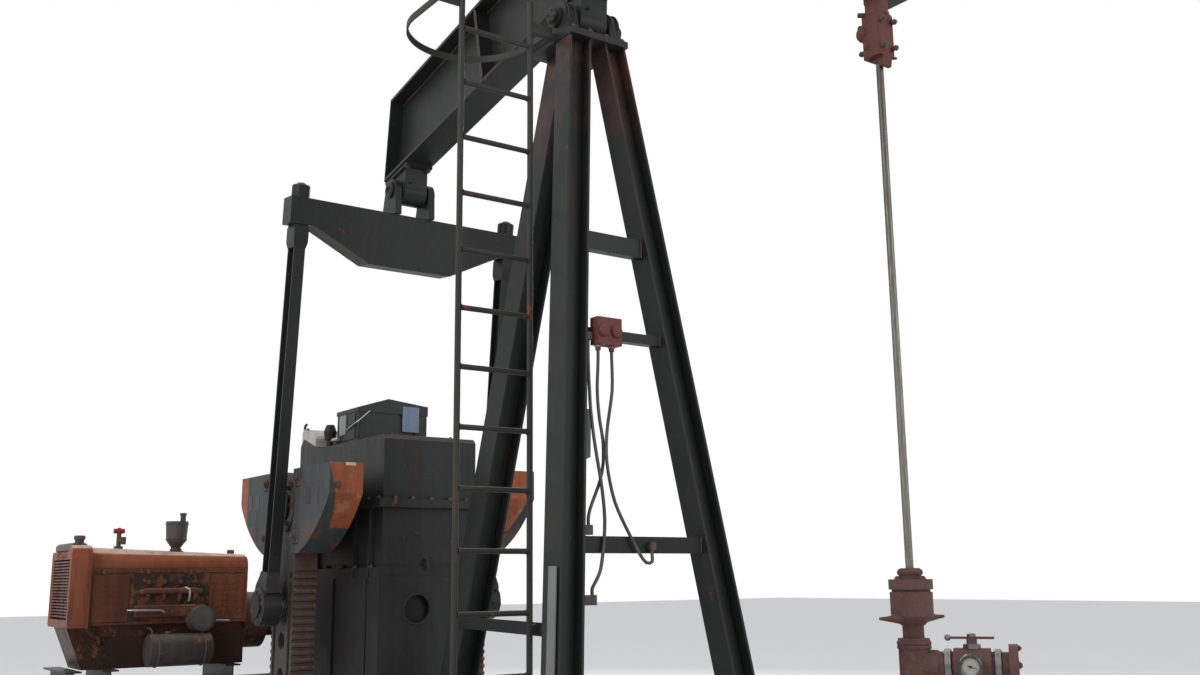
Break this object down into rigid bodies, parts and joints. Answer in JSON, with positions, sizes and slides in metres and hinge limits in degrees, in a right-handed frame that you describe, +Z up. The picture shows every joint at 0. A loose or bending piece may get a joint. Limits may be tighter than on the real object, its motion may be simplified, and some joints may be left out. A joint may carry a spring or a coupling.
{
  "type": "beam pumping unit",
  "caption": "Beam pumping unit with walking beam, cranks and counterweights, gear reducer, engine, ladder and wellhead on a steel skid.",
  "frame": {"origin": "on level ground under the saddle bearing, on the underside of the skid cross beam there, in the unit's centre plane", "axes": "+X towards the well, +Y away from the ladder side, +Z up"},
  "size_m": [7.8954, 2.685, 6.3317],
  "materials": {
    "structure_paint": "worn satin",
    "machine_paint": "oily satin",
    "locker_paint": "satin",
    "crank_paint": "worn satin",
    "weight_paint": "worn satin with orange edge faces",
    "engine_orange": "faded satin",
    "engine_red": "oily satin",
    "engine_grey": "satin",
    "belt_rubber": "matt",
    "cable_rubber": "satin",
    "ladder_steel": "worn",
    "well_rust": "rusty",
    "gauge_steel": "satin",
    "oxide_red": "dull",
    "pale_grey": "satin",
    "galvanised": "dull",
    "rod_steel": "polished by use",
    "wire_rope": "greased"
  },
  "bodies": {
    "frame": {"skid_rails": "structure_paint", "skid_crossbeams": "structure_paint", "front_leg_near": "structure_paint", "front_leg_far": "structure_paint", "rear_leg": "structure_paint", "leg_braces": "structure_paint", "post_head": "machine_paint", "gearbox_pedestal": "machine_paint", "gearbox": "machine_paint", "gearbox_locker": "locker_paint", "input_sheave": "machine_paint", "drive_belts": "belt_rubber", "engine_sheave": "machine_paint", "brake_drum": "machine_paint", "engine_stand": "structure_paint", "engine_rails": "structure_paint", "engine_block": "engine_red", "engine_hood": "engine_orange", "radiator": "engine_orange", "air_cleaner": "engine_grey", "engine_fittings": "engine_grey", "ladder": "ladder_steel", "ladder_rungs": "ladder_steel", "ladder_hoop": "ladder_steel", "junction_box": "oxide_red", "leg_switch": "pale_grey", "cable_clips": "galvanised", "cable_a": "cable_rubber", "cable_b": "cable_rubber", "cable_c": "cable_rubber", "wellhead": "well_rust", "stuffing_box": "well_rust", "flow_tee": "well_rust", "pressure_gauge": "gauge_steel", "bridle_hang": "wire_rope"},
    "beam": {"walking_beam": "structure_paint", "horsehead": "structure_paint", "bridle_wrap": "wire_rope", "tail_bearing": "structure_paint", "saddle_bearing": "structure_paint"},
    "hanger": {"equalizer": "structure_paint", "pitman_near": "structure_paint", "pitman_far": "structure_paint", "wrist_bearings": "machine_paint"},
    "cranks": {"crank_near": "crank_paint", "crank_far": "crank_paint", "weights_near": "weight_paint", "weights_far": "weight_paint", "slow_shaft": "machine_paint"},
    "rod": {"carrier_bar": "structure_paint", "rod_clamp": "oxide_red", "polished_rod": "rod_steel"}
  },
  "joints": [
    {"name": "crank_turn", "type": "hinge", "parent": "frame", "child": "cranks", "pos_m": [-2.55, 0, 2.1], "axis": [0, 1, 0], "range_deg": [0, 180]},
    {"name": "beam_rock", "type": "hinge", "parent": "frame", "child": "beam", "pos_m": [0, 0, 4.86], "axis": [0, 1, 0], "range_deg": [0, 33.7]},
    {"name": "hanger_swing", "type": "hinge", "parent": "beam", "child": "hanger", "pos_m": [-2.25051, 0, 4.4103], "axis": [0, 1, 0], "range_deg": [-31.22, 0]},
    {"name": "rod_travel", "type": "slide", "parent": "frame", "child": "rod", "axis": [0, 0, -1], "range_m": [0, 1.31168], "deforming": ["bridle_hang"]}
  ],
  "couplings": [
    {"joint": "beam_rock", "follows": "crank_turn", "ratio": 0.18722},
    {"joint": "hanger_swing", "follows": "crank_turn", "ratio": -0.17344},
    {"joint": "rod_travel", "follows": "crank_turn", "m_per_rad": 0.4175}
  ]
}
